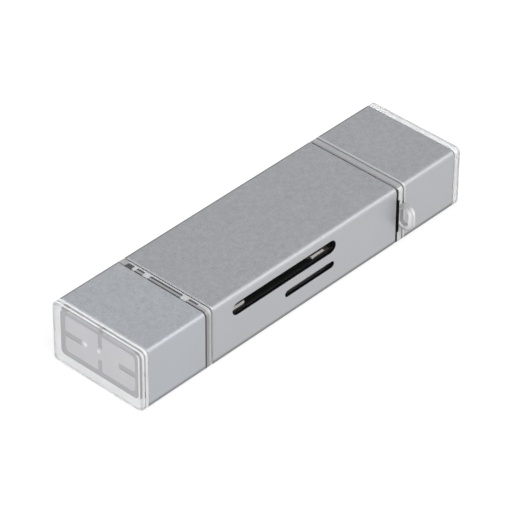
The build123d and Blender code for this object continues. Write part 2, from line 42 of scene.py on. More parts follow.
# Camera, at the photograph's angle
CAMERA_AZIMUTH = -46.98
CAMERA_ELEVATION = 37.48
CAMERA_ROLL = 0.30
CAMERA_LENS = 245.2
CAMERA_DISTANCE = 587.3 * MM
CAMERA_AIM_X = 1.805 * MM
CAMERA_RIGHT = -2.38 * MM
CAMERA_UP = 3.20 * MM
CAMERA_NEAR = 10 * MM

# Studio
FLOOR_SIZE = 3.0
FLOOR_DROP = 0.05 * MM
FLOOR_TONE = (0.28, 0.28, 0.28, 1)
FLOOR_LIFT = 0.74
FLOOR_ROUGHNESS = 0.9
WORLD_HIGH = (0.54, 0.545, 0.56, 1)
WORLD_LOW = (1.0, 1.0, 1.0, 1)
WORLD_FILL = 0.75
WORLD_RISE = (0.05, 0.75)
# Lamps: name, direction from the reader, distance, size, power
LAMPS = (
    ("edge_lamp", (0.58, -0.61, 0.54), 0.9, 0.45, 0.88),
    ("top_lamp", (-0.35, 0.1, 1.0), 1.0, 0.9, 2.0),
    ("key_lamp", (-0.1, -0.6, 0.8), 0.9, 0.7, 5.4),
    ("near_window_lamp", (-0.95, 0.0, 0.3), 0.9, 0.4, 3.7),
    ("far_window_lamp", (0.97, -0.2, 0.2), 0.9, 0.7, 1.6),
)

# Finishes, as linear colours
ALUMINIUM = (0.441, 0.445, 0.460, 1)
# Lighter copy of the aluminium for the near cap: painted light from the near end, which falls harder on that
# cap
NEAR_CAP_LIT_ALUMINIUM = (0.491, 0.510, 0.536, 1)
CUT_METAL = (0.93, 0.935, 0.945, 1)
CLEAR = (0.967, 0.970, 0.971, 1)
# Painted shade in the near window: a darker top and slot-side edge and a grey line with a bar, for the dark
# surroundings and rib seen through the clear plastic
PAINTED_EDGE_SHADE = (0.72, 0.72, 0.73, 1)
PAINTED_LINE_SHADE = (0.54, 0.54, 0.55, 1)
PANEL = (0.575, 0.57, 0.615, 1)
# White of the bright ring behind each window's border and of its strips and spots: painted light and painted
# highlights
FLANGE = (0.97, 0.97, 0.975, 1)
# Grey of the band and rib roots: painted shade where the clear plastic shows the dark inside instead of an
# etched face
BAND = (0.31, 0.305, 0.325, 1)
# Tones painted on the clear rims and loop: painted light, painted shade and the dark frame seen through them
RIM_LIGHT = (0.96, 0.955, 0.955, 1)
RIM_PALE = (0.66, 0.66, 0.665, 1)
RIM_GREY = (0.45, 0.45, 0.455, 1)
RIM_MID = (0.42, 0.42, 0.425, 1)
RIM_LINE = (0.20, 0.20, 0.205, 1)
RIM_DASH = (0.08, 0.08, 0.082, 1)
RIM_DARK = (0.03, 0.03, 0.032, 1)
EYE_WALL = (0.46, 0.46, 0.465, 1)
LOOP_PALE = (0.72, 0.72, 0.725, 1)
LOOP_END = (0.46, 0.46, 0.465, 1)
SEAM_SHADE = (0.36, 0.36, 0.365, 1)
BLACK_PLASTIC = (0.014, 0.014, 0.015, 1)
SOLDER_MASK = (0.010, 0.012, 0.011, 1)
INSULATOR = (0.018, 0.018, 0.018, 1)
TIN = (0.76, 0.74, 0.69, 1)
# Lit strip along the socket lips and the dark rest of the plate: painted light and painted shadow from the
# slot's edge
LIT_LIP_STRIP = (0.97, 0.955, 0.89, 1)
LIP_SHADE = (0.10, 0.08, 0.07, 1)
NICKEL = (0.66, 0.66, 0.65, 1)
GOLD = (0.83, 0.60, 0.26, 1)
EPOXY = (0.022, 0.022, 0.024, 1)
CERAMIC = (0.36, 0.25, 0.15, 1)
RESISTOR_FACE = (0.02, 0.02, 0.022, 1)
# Near black on the slot faces: painted shade in the card slots
SLOT_FACE = (0.03, 0.03, 0.032, 1)

# Tones as shares of a sleeve's colour: painted light and shade on its slot side, a darker copy of the cut
# metal on the body's end face as painted shade in the seam, painted shade beside the far cut end, and a
# painted highlight by the far joint edge
BODY_SIDE_SHADING = 1.005
FAR_CAP_SIDE_SHADING = 0.995
NEAR_CAP_SIDE_SHADING = 0.885
BODY_END_TONE = 0.75
CUT_SHADE_TONE = 0.78
JOINT_HIGHLIGHT_TONE = 1.4
# Painted shade on the long edges, for the dark surroundings and contact shadow they reflect: side in Y and in
# Z, insets in corner radii where the tone starts and is full, tone
SHADED_LONG_EDGES = ((1, 1, 0.9, 0.6, 0.28), (-1, -1, 1.35, 1.0, 0.5), (1, -1, 1.35, 1.0, 0.5))

# Darkest and lightest share of a finish's colour
SLEEVE_FLECKS = (0.82, 1.18)
CLEAR_SMEAR = (0.97, 1.03)
ETCHED_SMEAR = (0.95, 1.03)
LIP_FLECKS = (0.9, 1.1)
MOULDED_FLECKS = (0.8, 1.3)
ROLLED_TONES = (0.9, 1.08)

# Clearness and roughness of the finishes
CLEAR_IOR = 1.49
NEAR_CLEARNESS = 0.76
FAR_CLEARNESS = 0.68
RIM_CLEARNESS = 0.35
SLEEVE_GLOSS = (0.44, 0.50)
SLEEVE_METALLIC = 0.9
CUT_GLOSS = 0.15
SHADE_GLOSS = 0.45
END_GLOSS = 0.5
SLOT_GLOSS = 0.3
CLEAR_GLOSS = (0.02, 0.08)
ETCHED_GLOSS = (0.55, 0.75)
LIP_GLOSS = (0.45, 0.6)
BLACK_GLOSS = (0.42, 0.55)
INSULATOR_GLOSS = (0.40, 0.55)
MASK_GLOSS = (0.28, 0.4)
EPOXY_GLOSS = (0.5, 0.65)
CERAMIC_GLOSS = (0.4, 0.5)
RESISTOR_GLOSS = (0.3, 0.45)
TIN_GLOSS = (0.22, 0.36)
NICKEL_GLOSS = (0.16, 0.28)
GOLD_GLOSS = (0.16, 0.26)

# Grain of the finishes: pits, patches and rolling lines per metre, the noise levels that show, and bumps by
# strength and depth
SLEEVE_PITS = 3000.0
ETCHED_PITS = 3000.0
LIP_PITS = 7000.0
MOULDED_PITS = 9000.0
SLEEVE_PATCHES = 120.0
CLEAR_PATCHES = 400.0
ETCHED_PATCHES = 260.0
PLATED_PATCHES = 350.0
TIN_LINES = 9000.0
NICKEL_LINES = 7000.0
GOLD_LINES = 9000.0
ROLL_STRETCH = (0.06, 1.0, 1.0)
COARSE_SHARE = 0.31
COARSE_WEIGHT = 0.5
FLECK_LEVELS = (0.45, 1.05)
SMEAR_LEVELS = (0.3, 0.7)
SLEEVE_BUMP = (0.3, 0.02 * MM)
CLEAR_BUMP = (0.06, 0.05 * MM)
ETCHED_BUMP = (0.2, 0.02 * MM)
LIP_BUMP = (0.1, 0.01 * MM)
MOULDED_BUMP = (0.3, 0.02 * MM)
ROLLED_BUMP = (0.12, 0.01 * MM)

# Sizes of the sleeves' cut ends and slots
CUT_BAND = 0.08 * MM
# Span of the painted shade beside the far cut end
CUT_SHADE = (0.3 * MM, 0.05 * MM)
END_FACE = 0.03 * MM
# Span of the painted highlight by the far joint end
JOINT_EDGE = (0.18 * MM, 0.45 * MM)
CORNER_R = 1.0 * MM
SLEEVE_WALL = 0.6 * MM
SLOT_MARGIN = 1.5 * MM
SKIN = 0.02 * MM

# Sizes of the clear windows and what shows in them
WINDOW_THICK = 2.1 * MM
WINDOW_LENGTH = 1.6 * MM
CAVITY_INSET = 1.4 * MM
CAVITY_R = 0.9 * MM
WINDOW_BREAK = 0.35 * MM
WINDOW_LINE = (0.74 * MM, 1.04 * MM)
WINDOW_BAR = (-1.05 * MM, -0.4 * MM)
FLANGE_OUTER = 0.1 * MM
RECESS_LIFT = 0.28 * MM
BAND_OUTER = 0.9 * MM
BAND_INNER = 2.3 * MM
RING_STEPS = 6
RIB_THICK = 0.9 * MM
RIB_CLEAR = 0.1 * MM
RIB_LIFT = 0.1 * MM
# Spans of the bright strips painted as highlights where a window leaves its sleeve
FAR_SHOULDER = (0.12 * MM, 0.9 * MM)
NEAR_SHOULDERS = ((0.1 * MM, 0.5 * MM), (0.95 * MM, 1.28 * MM))
SHOULDER_INSET = 0.04 * MM
ETCH_SHEET = 0.01 * MM
MERGE = 0.001 * MM
# White spots at a rib's end and on the gate mark: painted highlights
HIGHLIGHT_SPOTS = ((3.4 * MM, 0.0, 0.45 * MM), (0.3 * MM, 0.25 * MM, 0.35 * MM))
SPOT_SIDES = 24

# Sizes of the socket lips, the rims and the loop
LIP_START = 0.08 * MM
LIP_END = 0.62 * MM
LIPS = ((-18.5 * MM, -13.4 * MM), (2.7 * MM, 5.7 * MM))
RIM_STEP = 0.72 * MM
RIM_EDGE = 0.12 * MM
FAR_RIM_EDGE = 0.28 * MM
SEAM_EDGE = 0.2 * MM
DASH_HALF = 0.2 * MM
DASHES = ((-7.7 * MM, -5.7 * MM), (-4.2 * MM, 3.0 * MM), (4.4 * MM, 6.0 * MM), (6.8 * MM, 8.2 * MM))
CLIPS = ((-5.6 * MM, -4.3 * MM), (3.1 * MM, 4.3 * MM), (6.1 * MM, 6.7 * MM))
CORNER_ZONE = 1.95 * MM
SIDE_ZONE = 0.3 * MM
GAP_EDGE = 0.18 * MM
RELIEF_DEPTH = 0.45 * MM
RELIEF_HALF = 3.4 * MM
EYE_Y = -11.2 * MM
EYE_STRAIGHT = 0.775 * MM
EYE_R = 0.9 * MM
LOOP_BAND = (0.55 * MM, 1.0 * MM)
LOOP_FADE = (1.6 * MM, 2.3 * MM)

BODY_LOW, BODY_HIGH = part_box("body_sleeve")
HALF_WIDTH = BODY_HIGH.y
HALF_HEIGHT = (BODY_HIGH.z - BODY_LOW.z) / 2
MID_Z = (BODY_HIGH.z + BODY_LOW.z) / 2


def add_node(tree, kind, **settings):
    """Node of a kind, with attributes and input values set by name."""
    node = tree.nodes.new(kind)
    for name, value in settings.items():
        if hasattr(node, name):
            setattr(node, name, value)
        else:
            node.inputs[name.replace("_", " ")].default_value = value
    return node


def wire(tree, source, output, target, entry):
    tree.links.new(source.outputs[output], target.inputs[entry])


def maths(tree, operation, *values):
    """Math node whose values are numbers or (node, output) pairs."""
    node = tree.nodes.new("ShaderNodeMath")
    node.operation = operation
    for index, value in enumerate(values):
        if isinstance(value, tuple):
            tree.links.new(value[0].outputs[value[1]], node.inputs[index])
        else:
            node.inputs[index].default_value = value
    return node


def new_group(name, inputs, outputs):
    """Empty shader group with named number inputs and outputs."""
    group = bpy.data.node_groups.new(name, "ShaderNodeTree")
    for label, value in inputs.items():
        socket = group.interface.new_socket(label, in_out="INPUT", socket_type="NodeSocketFloat")
        socket.default_value = value
    for label in outputs:
        group.interface.new_socket(label, in_out="OUTPUT", socket_type="NodeSocketFloat")
    entry = group.nodes.new("NodeGroupInput")
    end = group.nodes.new("NodeGroupOutput")
    return group, entry, end


def place_group(tree, group, **values):
    node = tree.nodes.new("ShaderNodeGroup")
    node.node_tree = group
    for name, value in values.items():
        node.inputs[name.replace("_", " ")].default_value = value
    return node


def object_axes(tree):
    """X, Y and Z of the piece's own coordinates."""
    place = tree.nodes.new("ShaderNodeTexCoord")
    axes = tree.nodes.new("ShaderNodeSeparateXYZ")
    wire(tree, place, "Object", axes, "Vector")
    return axes


def span(tree, axes, axis, low, high):
    """Mask of a stretch along one axis."""
    return (maths(tree, "COMPARE", (axes, axis), (low + high) / 2, (high - low) / 2), 0)


def all_of(tree, *masks):
    result = masks[0]
    for mask in masks[1:]:
        result = (maths(tree, "MULTIPLY", result, mask), 0)
    return result


def any_of(tree, *masks):
    result = masks[0]
    for mask in masks[1:]:
        result = (maths(tree, "MAXIMUM", result, mask), 0)
    return result


def none_of(tree, *masks):
    return (maths(tree, "SUBTRACT", 1.0, any_of(tree, *masks)), 0)


def grain_group():
    """Fine pits and flecks of a blasted or moulded skin."""
    group, entry, end = new_group("surface_grain", {"Pits per metre": SLEEVE_PITS}, ["Height", "Fleck"])
    place = group.nodes.new("ShaderNodeTexCoord")
    pits = add_node(group, "ShaderNodeTexNoise", Detail=3.0, Roughness=0.6)
    coarse = add_node(group, "ShaderNodeTexNoise", Detail=2.0, Roughness=0.5)
    third = maths(group, "MULTIPLY", (entry, "Pits per metre"), COARSE_SHARE)
    for noise, scale in ((pits, (entry, "Pits per metre")), (coarse, (third, 0))):
        wire(group, place, "Object", noise, "Vector")
        group.links.new(scale[0].outputs[scale[1]], noise.inputs["Scale"])
    blend = maths(group, "MULTIPLY_ADD", (coarse, "Fac"), COARSE_WEIGHT, (pits, "Fac"))
    fleck = add_node(group, "ShaderNodeMapRange", From_Min=FLECK_LEVELS[0], From_Max=FLECK_LEVELS[1])
    wire(group, blend, 0, fleck, "Value")
    wire(group, blend, 0, end, "Height")
    wire(group, fleck, "Result", end, "Fleck")
    return group


def handling_group():
    """Slow change of gloss, as hands and cloths leave it."""
    group, entry, end = new_group("handling", {"Patches per metre": SLEEVE_PATCHES}, ["Smear"])
    place = group.nodes.new("ShaderNodeTexCoord")
    patches = add_node(group, "ShaderNodeTexNoise", Detail=4.0, Roughness=0.55, Distortion=0.6)
    wire(group, place, "Object", patches, "Vector")
    wire(group, entry, "Patches per metre", patches, "Scale")
    spread = add_node(group, "ShaderNodeMapRange", From_Min=SMEAR_LEVELS[0], From_Max=SMEAR_LEVELS[1])
    wire(group, patches, "Fac", spread, "Value")
    wire(group, spread, "Result", end, "Smear")
    return group


def long_edge_group():
    """Mask of one long rounded edge of a tube, picked by its sides; Start and Full count in corner radii."""
    inputs = {"Y side": 1.0, "Z side": 1.0, "Start": 1.0, "Full": 0.6}
    group, entry, end = new_group("long_edge", inputs, ["Mask"])
    axes = object_axes(group)
    z_off = (maths(group, "SUBTRACT", (axes, "Z"), MID_Z), 0)
    past = []
    for place, side, half in (((axes, "Y"), "Y side", HALF_WIDTH), (z_off, "Z side", HALF_HEIGHT)):
        out = (maths(group, "MULTIPLY", place, (entry, side)), 0)
        inset = maths(group, "MULTIPLY_ADD", out, -1 / CORNER_R, half / CORNER_R)
        rise = group.nodes.new("ShaderNodeMapRange")
        wire(group, inset, 0, rise, "Value")
        wire(group, entry, "Start", rise, "From Min")
        wire(group, entry, "Full", rise, "From Max")
        past.append((rise, "Result"))
    both = maths(group, "MULTIPLY", *past)
    wire(group, both, 0, end, "Mask")
    return group


def slot_face_group():
    """Mask of the milled faces of the card slots, inside the sleeve's wall at -Y, where they are painted near
    black as painted shade.
    """
    group, entry, end = new_group("slot_faces", {}, ["Mask"])
    axes = object_axes(group)
    deep = span(group, axes, "Y", SKIN - HALF_WIDTH, SLEEVE_WALL - SKIN - HALF_WIDTH)
    tall = span(group, axes, "Z", BODY_LOW.z + SLOT_MARGIN, BODY_HIGH.z - SLOT_MARGIN)
    long = span(group, axes, "X", BODY_LOW.x + SLOT_MARGIN, BODY_HIGH.x - SLOT_MARGIN)
    mask = all_of(group, deep, tall, long)
    wire(group, *mask, end, "Mask")
    return group


GRAIN = grain_group()
HANDLING = handling_group()
LONG_EDGE = long_edge_group()
SLOT_FACES = slot_face_group()


def new_material(name):
    material = bpy.data.materials.new(name)
    material.use_nodes = True
    tree = material.node_tree
    return material, tree, tree.nodes["Principled BSDF"]


def add_bump(tree, shader, height, output, strength, distance):
    bump = add_node(tree, "ShaderNodeBump", Strength=strength, Distance=distance)
    wire(tree, height, output, bump, "Height")
    wire(tree, bump, "Normal", shader, "Normal")
    return bump


def vary(tree, source, output, low, high):
    """Number that runs between two values with a mask."""
    node = add_node(tree, "ShaderNodeMapRange", To_Min=low, To_Max=high)
    wire(tree, source, output, node, "Value")
    return node


def shade(tree, source, output, dark, light):
    """Colour that runs between two tones with a mask."""
    node = add_node(tree, "ShaderNodeMix", data_type="RGBA")
    wire(tree, source, output, node, "Factor")
    node.inputs["A"].default_value = dark
    node.inputs["B"].default_value = light
    return node


def tone(colour, factor):
    return (*[channel * factor for channel in colour[:3]], 1)


def tones(colour, factors):
    return [tone(colour, factor) for factor in factors]


def mix_over(tree, kind, below, mask, above):
    """Lay a plain colour or number over a changing one, where a mask is 1."""
    node = add_node(tree, "ShaderNodeMix", data_type=kind)
    tree.links.new(mask, node.inputs["Factor"])
    tree.links.new(below, node.inputs["A"])
    node.inputs["B"].default_value = above
    return node.outputs["Result"]


def blasted_aluminium(node, colour, side_shading, cuts):
    """Blasted and anodised sleeve: bright cut ends with bands of painted shade and highlight beside some,
    smooth milled slots painted near black as painted shade, painted light and shade on the slot side, and
    painted shade on the rear and lower edges.
    """
    material, tree, shader = new_material("blasted_aluminium_" + node)
    grain = place_group(tree, GRAIN, Pits_per_metre=SLEEVE_PITS)
    handling = place_group(tree, HANDLING, Patches_per_metre=SLEEVE_PATCHES)
    slots = place_group(tree, SLOT_FACES)
    axes = object_axes(tree)
    skin = shade(tree, grain, "Fleck", *tones(colour, SLEEVE_FLECKS)).outputs["Result"]
    gloss = vary(tree, handling, "Smear", *SLEEVE_GLOSS).outputs["Result"]
    # Painted light and shade across the slot side, set by the sleeve's side tone
    side = add_node(
        tree, "ShaderNodeMapRange", From_Min=CORNER_R - HALF_WIDTH, From_Max=SIDE_ZONE - HALF_WIDTH
    )
    wire(tree, axes, "Y", side, "Value")
    skin = mix_over(tree, "RGBA", skin, side.outputs["Result"], tone(colour, side_shading))
    # Painted shade along the rear and lower long edges
    for y_side, z_side, start, full, dark in SHADED_LONG_EDGES:
        edge = place_group(tree, LONG_EDGE, Y_side=y_side, Z_side=z_side, Start=start, Full=full)
        skin = mix_over(tree, "RGBA", skin, edge.outputs["Mask"], tone(colour, dark))
    for low, high, cut_colour, cut_gloss in cuts:
        band, output = span(tree, axes, "X", low, high)
        skin = mix_over(tree, "RGBA", skin, band.outputs[output], cut_colour)
        gloss = mix_over(tree, "FLOAT", gloss, band.outputs[output], cut_gloss)
    # Slot faces painted near black: painted shade in the card slots
    skin = mix_over(tree, "RGBA", skin, slots.outputs["Mask"], SLOT_FACE)
    gloss = mix_over(tree, "FLOAT", gloss, slots.outputs["Mask"], SLOT_GLOSS)
    tree.links.new(skin, shader.inputs["Base Color"])
    shader.inputs["Metallic"].default_value = SLEEVE_METALLIC
    tree.links.new(gloss, shader.inputs["Roughness"])
    add_bump(tree, shader, grain, "Height", *SLEEVE_BUMP)
    return material


def near_window_shade_zones(tree, axes):
    """Painted shade in the near window: a darker top and slot-side edge, and a grey line round it with a bar
    to that edge, for dark things seen through the clear plastic.
    """
    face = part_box("cap_c_liner")[0].x
    front = span(tree, axes, "X", face - SKIN, face + WINDOW_BREAK + SKIN)
    top = span(tree, axes, "Z", BODY_HIGH.z - WINDOW_BREAK + SKIN, BODY_HIGH.z)
    side = span(tree, axes, "Y", -HALF_WIDTH, WINDOW_BREAK - SKIN - HALF_WIDTH)
    above = span(tree, axes, "Z", BODY_LOW.z + WINDOW_BREAK, BODY_HIGH.z + SKIN)
    line = all_of(tree, span(tree, axes, "X", face + WINDOW_LINE[0], face + WINDOW_LINE[1]), above)
    outside = span(tree, axes, "X", face + WINDOW_BREAK, face + WINDOW_LINE[0])
    bar = all_of(tree, outside, span(tree, axes, "Y", *WINDOW_BAR), above)
    return [(all_of(tree, front, any_of(tree, top, side)), PAINTED_EDGE_SHADE), (any_of(tree, line, bar), PAINTED_LINE_SHADE)]


def no_zones(tree, axes):
    return []


def cloudy_plastic(name, clearness, base, zones):
    """Clear moulding with a slight haze and waviness, with zones of painted shade and light for what shows in
    it.
    """
    material, tree, shader = new_material(name)
    handling = place_group(tree, HANDLING, Patches_per_metre=CLEAR_PATCHES)
    skin = shade(tree, handling, "Smear", *tones(base, CLEAR_SMEAR)).outputs["Result"]
    for (node, output), colour in zones(tree, object_axes(tree)):
        skin = mix_over(tree, "RGBA", skin, node.outputs[output], colour)
    tree.links.new(skin, shader.inputs["Base Color"])
    shader.inputs["Transmission Weight"].default_value = clearness
    shader.inputs["IOR"].default_value = CLEAR_IOR
    gloss = vary(tree, handling, "Smear", *CLEAR_GLOSS)
    tree.links.new(gloss.outputs["Result"], shader.inputs["Roughness"])
    add_bump(tree, shader, handling, "Smear", *CLEAR_BUMP)
    return material


def near_rim_zones(tree, axes):
    """Painted shade on the near rim: a darker half beside the sleeve and a broken dark line where the dark
    frame shows through, both interrupted by clips, and a greyer corner.
    """
    low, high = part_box("cap_c_rim")
    clips = none_of(tree, *[span(tree, axes, "Y", *clip) for clip in CLIPS])
    dashes = any_of(tree, *[span(tree, axes, "Y", *dash) for dash in DASHES])
    step = high.x - RIM_STEP
    half = all_of(tree, span(tree, axes, "X", low.x - SKIN, step), clips)
    line = all_of(tree, span(tree, axes, "X", low.x - SKIN, low.x + RIM_EDGE), clips)
    dash = all_of(tree, span(tree, axes, "X", step - DASH_HALF, step + DASH_HALF), dashes)
    wide = all_of(tree, span(tree, axes, "X", low.x, step), span(tree, axes, "Y", *DASHES[-1]))
    corner = span(tree, axes, "Y", high.y - CORNER_ZONE, high.y + SKIN)
    return [(half, RIM_MID), (line, RIM_LINE), (any_of(tree, dash, wide), RIM_DASH), (corner, RIM_GREY)]


def eye_square(tree, axes):
    """Square of the distance from the middle of the loop's oval eye."""
    across = maths(tree, "SUBTRACT", (axes, "Y"), EYE_Y)
    rise = maths(tree, "ABSOLUTE", (maths(tree, "SUBTRACT", (axes, "Z"), MID_Z), 0))
    past = maths(tree, "MAXIMUM", (maths(tree, "SUBTRACT", (rise, 0), EYE_STRAIGHT), 0), 0.0)
    across_square = maths(tree, "MULTIPLY", (across, 0), (across, 0))
    return (maths(tree, "MULTIPLY_ADD", (past, 0), (past, 0), (across_square, 0)), 0)


def loop_zones(tree, axes, low):
    """Painted shade on the clear loop: a greyer band round it, its top and foot fading to grey, and the grey
    wall of its eye.
    """
    clear_of_ring = span(tree, axes, "Y", low.y - SKIN, -HALF_WIDTH - SKIN)
    band = span(tree, axes, "X", low.x + LOOP_BAND[0], low.x + LOOP_BAND[1])
    rise = maths(tree, "ABSOLUTE", (maths(tree, "SUBTRACT", (axes, "Z"), MID_Z), 0))
    fade = add_node(tree, "ShaderNodeMapRange", From_Min=LOOP_FADE[0], From_Max=LOOP_FADE[1])
    wire(tree, rise, 0, fade, "Value")
    eye = (maths(tree, "LESS_THAN", eye_square(tree, axes), EYE_R * EYE_R), 0)
    return [
        (all_of(tree, band, clear_of_ring), LOOP_PALE),
        (all_of(tree, (fade, "Result"), clear_of_ring), LOOP_END),
        (eye, EYE_WALL),
    ]


def far_rim_zones(tree, axes):
    """Painted light and shade on the far rim: a lit side and loop, dark lines beside both sleeves, and painted
    shadow in the gap behind the loop.
    """
    low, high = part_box("cap_a_rim")
    ring_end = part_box("cap_a_sleeve")[0].x
    loop_side = span(tree, axes, "Y", low.y - SKIN, SIDE_ZONE - HALF_WIDTH)
    ring = span(tree, axes, "Y", -HALF_WIDTH - SKIN, high.y + SKIN)
    seam = span(tree, axes, "X", low.x - SKIN, low.x + SEAM_EDGE)
    line = all_of(tree, span(tree, axes, "X", ring_end - FAR_RIM_EDGE, ring_end), ring)
    wall = span(tree, axes, "Y", -HALF_WIDTH - SKIN, CAVITY_INSET - HALF_WIDTH + SKIN)
    edge = all_of(tree, span(tree, axes, "X", low.x - SKIN, low.x + GAP_EDGE), loop_side)
    relief = all_of(
        tree,
        span(tree, axes, "X", low.x - SKIN, low.x + RELIEF_DEPTH),
        span(tree, axes, "Z", MID_Z - RELIEF_HALF, MID_Z + RELIEF_HALF),
        wall,
    )
    # Painted shadow in the gap and relief behind the loop
    gap = any_of(tree, edge, relief)
    ring_zones = [(seam, SEAM_SHADE), (loop_side, RIM_LIGHT), (line, RIM_LINE), (gap, RIM_DARK)]
    return ring_zones + loop_zones(tree, axes, low)


def etched_plastic(name, colour):
    """Etched face in a clear cap, which scatters the light that comes through; the same finish carries the
    bright ring and strips of painted light and the grey band of painted shade.
    """
    material, tree, shader = new_material(name)
    grain = place_group(tree, GRAIN, Pits_per_metre=ETCHED_PITS)
    handling = place_group(tree, HANDLING, Patches_per_metre=ETCHED_PATCHES)
    skin = shade(tree, handling, "Smear", *tones(colour, ETCHED_SMEAR))
    tree.links.new(skin.outputs["Result"], shader.inputs["Base Color"])
    gloss = vary(tree, grain, "Fleck", *ETCHED_GLOSS)
    tree.links.new(gloss.outputs["Result"], shader.inputs["Roughness"])
    add_bump(tree, shader, grain, "Height", *ETCHED_BUMP)
    return material


def lip_plate():
    """Satin floor plate painted dark as the shadow from the slot's edge, with a bright strip of painted light
    along its front lips.
    """
    material, tree, shader = new_material("lip_plate")
    grain = place_group(tree, GRAIN, Pits_per_metre=LIP_PITS)
    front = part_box("large_card_shell")[0].y
    axes = object_axes(tree)
    strip = span(tree, axes, "Y", front + LIP_START, front + LIP_END)
    lip, output = all_of(tree, strip, any_of(tree, *[span(tree, axes, "X", *ends) for ends in LIPS]))
    skin = shade(tree, grain, "Fleck", *tones(LIP_SHADE, LIP_FLECKS)).outputs["Result"]
    # Painted light on the lips' front strip, over the painted shadow
    skin = mix_over(tree, "RGBA", skin, lip.outputs[output], LIT_LIP_STRIP)
    tree.links.new(skin, shader.inputs["Base Color"])
    gloss = vary(tree, grain, "Fleck", *LIP_GLOSS)
    tree.links.new(gloss.outputs["Result"], shader.inputs["Roughness"])
    add_bump(tree, shader, grain, "Height", *LIP_BUMP)
    return material


def moulded_plastic(name, colour, gloss_range):
    """Opaque moulding with a fine spark-eroded skin."""
    material, tree, shader = new_material(name)
    grain = place_group(tree, GRAIN, Pits_per_metre=MOULDED_PITS)
    skin = shade(tree, grain, "Fleck", *tones(colour, MOULDED_FLECKS))
    tree.links.new(skin.outputs["Result"], shader.inputs["Base Color"])
    gloss = vary(tree, grain, "Fleck", *gloss_range)
    tree.links.new(gloss.outputs["Result"], shader.inputs["Roughness"])
    add_bump(tree, shader, grain, "Height", *MOULDED_BUMP)
    return material


def plated_metal(name, colour, gloss_range, lines_per_metre):
    """Stamped sheet: fine rolling lines under a plated skin."""
    material, tree, shader = new_material(name)
    place = tree.nodes.new("ShaderNodeTexCoord")
    stretch = add_node(tree, "ShaderNodeMapping", Scale=ROLL_STRETCH)
    lines = add_node(tree, "ShaderNodeTexNoise", Scale=lines_per_metre, Detail=3.0)
    wire(tree, place, "Object", stretch, "Vector")
    wire(tree, stretch, "Vector", lines, "Vector")
    handling = place_group(tree, HANDLING, Patches_per_metre=PLATED_PATCHES)
    skin = shade(tree, lines, "Fac", *tones(colour, ROLLED_TONES))
    tree.links.new(skin.outputs["Result"], shader.inputs["Base Color"])
    shader.inputs["Metallic"].default_value = 1.0
    gloss = vary(tree, handling, "Smear", *gloss_range)
    tree.links.new(gloss.outputs["Result"], shader.inputs["Roughness"])
    add_bump(tree, shader, lines, "Fac", *ROLLED_BUMP)
    return material


